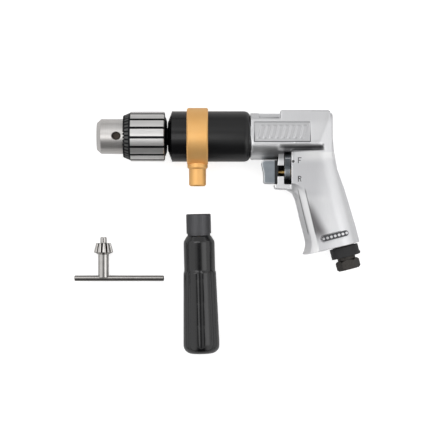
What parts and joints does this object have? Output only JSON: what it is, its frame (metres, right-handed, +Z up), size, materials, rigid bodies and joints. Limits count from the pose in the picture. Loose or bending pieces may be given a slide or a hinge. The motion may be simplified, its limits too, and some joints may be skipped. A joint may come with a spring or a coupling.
{
  "type": "air drill",
  "caption": "Pistol-grip air drill with keyed chuck, gold handle clamp, bright cast body, trigger and reversing lever, laid out with its side handle and chuck key.",
  "frame": {"origin": "middle of the chuck nose face, on the barrel axis", "axes": "the set lies on its side: +X from the chuck nose to the grip, +Y from the grip to the barrel, +Z up from the table"},
  "size_m": [0.2483, 0.213, 0.0494],
  "materials": {
    "chuck_steel": "turned steel, bright",
    "bearing_steel": "ground steel",
    "gear_steel": "oiled hardened steel",
    "black_case": "gloss black over steel",
    "black_housing": "satin black",
    "gold_zinc": "yellow passivated zinc, satin",
    "cast_alloy": "polished casting",
    "grey_casting": "satin grey die casting",
    "brass": "turned brass",
    "black_rubber": "matt black",
    "vane_fibre": "resin fibre",
    "inlet_steel": "blackened steel",
    "handle_black": "gloss black moulding",
    "ferrule_steel": "dark turned steel",
    "key_steel": "plated steel"
  },
  "bodies": {
    "housing": {"gear_case": "black_case", "motor_housing": "black_housing", "pistol_body": "cast_alloy", "ring_gear": "gear_steel", "spindle_seal": "black_rubber", "spindle_bearing_outer": "bearing_steel", "spindle_bearing_balls": "bearing_steel", "bearing_clip": "gear_steel", "front_plate": "gear_steel", "rear_plate": "gear_steel", "motor_cylinder": "gear_steel", "motor_dowel": "bearing_steel", "rotor_bearing_outers": "bearing_steel", "rotor_bearing_balls": "bearing_steel", "valve_seat": "brass", "valve_spring": "bearing_steel", "inlet_bushing": "inlet_steel", "inlet_screen": "brass", "inlet_oring": "black_rubber"},
    "spindle_unit": {"spindle": "gear_steel", "chuck_body": "chuck_steel", "chuck_screw": "gear_steel", "spindle_bearing_inner": "bearing_steel", "planet_pins": "bearing_steel"},
    "sleeve_unit": {"chuck_sleeve": "chuck_steel", "chuck_nut": "gear_steel"},
    "jaw_unit_1": {"jaw_1": "chuck_steel"},
    "jaw_unit_2": {"jaw_2": "chuck_steel"},
    "jaw_unit_3": {"jaw_3": "chuck_steel"},
    "planet_unit_1": {"planet_1": "gear_steel"},
    "planet_unit_2": {"planet_2": "gear_steel"},
    "planet_unit_3": {"planet_3": "gear_steel"},
    "rotor_unit": {"rotor": "gear_steel", "vanes": "vane_fibre", "rotor_bearing_inners": "bearing_steel"},
    "clamp_unit": {"clamp_ring": "gold_zinc", "clamp_screw": "gear_steel"},
    "trigger_unit": {"trigger": "grey_casting", "valve_stem": "brass", "valve_poppet": "black_rubber"},
    "lever_unit": {"reverse_lever": "grey_casting", "reverse_valve": "brass"},
    "deflector_unit": {"exhaust_deflector": "black_rubber"},
    "side_handle": {"handle_grip": "handle_black", "handle_ferrule": "ferrule_steel"},
    "chuck_key": {"key_head": "key_steel", "key_bar": "key_steel"}
  },
  "joints": [
    {"name": "spindle_spin", "type": "hinge", "parent": "housing", "child": "spindle_unit", "pos_m": [0.07, 0, 0], "axis": [1, 0, 0], "continuous": true},
    {"name": "sleeve_turn", "type": "hinge", "parent": "spindle_unit", "child": "sleeve_unit", "pos_m": [0.04, 0, 0], "axis": [1, 0, 0], "range_deg": [0, 2880]},
    {"name": "jaw_1_slide", "type": "slide", "parent": "spindle_unit", "child": "jaw_unit_1", "axis": [-0.9781, 0.1801, -0.104], "range_m": [0, 0.025]},
    {"name": "jaw_2_slide", "type": "slide", "parent": "spindle_unit", "child": "jaw_unit_2", "axis": [-0.9781, 0, 0.2079], "range_m": [0, 0.025]},
    {"name": "jaw_3_slide", "type": "slide", "parent": "spindle_unit", "child": "jaw_unit_3", "axis": [-0.9781, -0.1801, -0.104], "range_m": [0, 0.025]},
    {"name": "planet_1_spin", "type": "hinge", "parent": "spindle_unit", "child": "planet_unit_1", "pos_m": [0.0825, 0, 0.01013], "axis": [1, 0, 0], "continuous": true},
    {"name": "planet_2_spin", "type": "hinge", "parent": "spindle_unit", "child": "planet_unit_2", "pos_m": [0.0825, -0.00877, -0.00506], "axis": [1, 0, 0], "continuous": true},
    {"name": "planet_3_spin", "type": "hinge", "parent": "spindle_unit", "child": "planet_unit_3", "pos_m": [0.0825, 0.00877, -0.00506], "axis": [1, 0, 0], "continuous": true},
    {"name": "rotor_spin", "type": "hinge", "parent": "housing", "child": "rotor_unit", "pos_m": [0.11, 0, 0], "axis": [1, 0, 0], "continuous": true},
    {"name": "clamp_turn", "type": "hinge", "parent": "housing", "child": "clamp_unit", "pos_m": [0.0867, 0, 0], "axis": [1, 0, 0], "range_deg": [-90, 90]},
    {"name": "trigger_pull", "type": "slide", "parent": "housing", "child": "trigger_unit", "axis": [1, 0, 0], "range_m": [0, 0.0045], "stiffness_N_per_m": 1200, "springref_m": -0.004, "deforming": ["valve_spring"]},
    {"name": "reverse_lever_turn", "type": "hinge", "parent": "housing", "child": "lever_unit", "pos_m": [0.1642, -0.0309, 0], "axis": [1, 0, 0], "range_deg": [0, 50]},
    {"name": "deflector_turn", "type": "hinge", "parent": "housing", "child": "deflector_unit", "pos_m": [0.2126, -0.0947, 0], "axis": [0.2504, -0.9681, 0], "continuous": true},
    {"name": "handle_lift", "type": "slide", "parent": "housing", "child": "side_handle", "axis": [0, 0, 1], "range_m": [0, 0.1]},
    {"name": "key_lift", "type": "slide", "parent": "housing", "child": "chuck_key", "axis": [0, 0, 1], "range_m": [0, 0.1]}
  ],
  "couplings": [
    {"joint": "jaw_1_slide", "follows": "sleeve_turn", "m_per_rad": 0.00049736},
    {"joint": "jaw_2_slide", "follows": "sleeve_turn", "m_per_rad": 0.00049736},
    {"joint": "jaw_3_slide", "follows": "sleeve_turn", "m_per_rad": 0.00049736},
    {"joint": "planet_1_spin", "follows": "spindle_spin", "ratio": -2.8},
    {"joint": "planet_2_spin", "follows": "spindle_spin", "ratio": -2.8},
    {"joint": "planet_3_spin", "follows": "spindle_spin", "ratio": -2.8},
    {"joint": "rotor_spin", "follows": "spindle_spin", "ratio": 4.5}
  ]
}
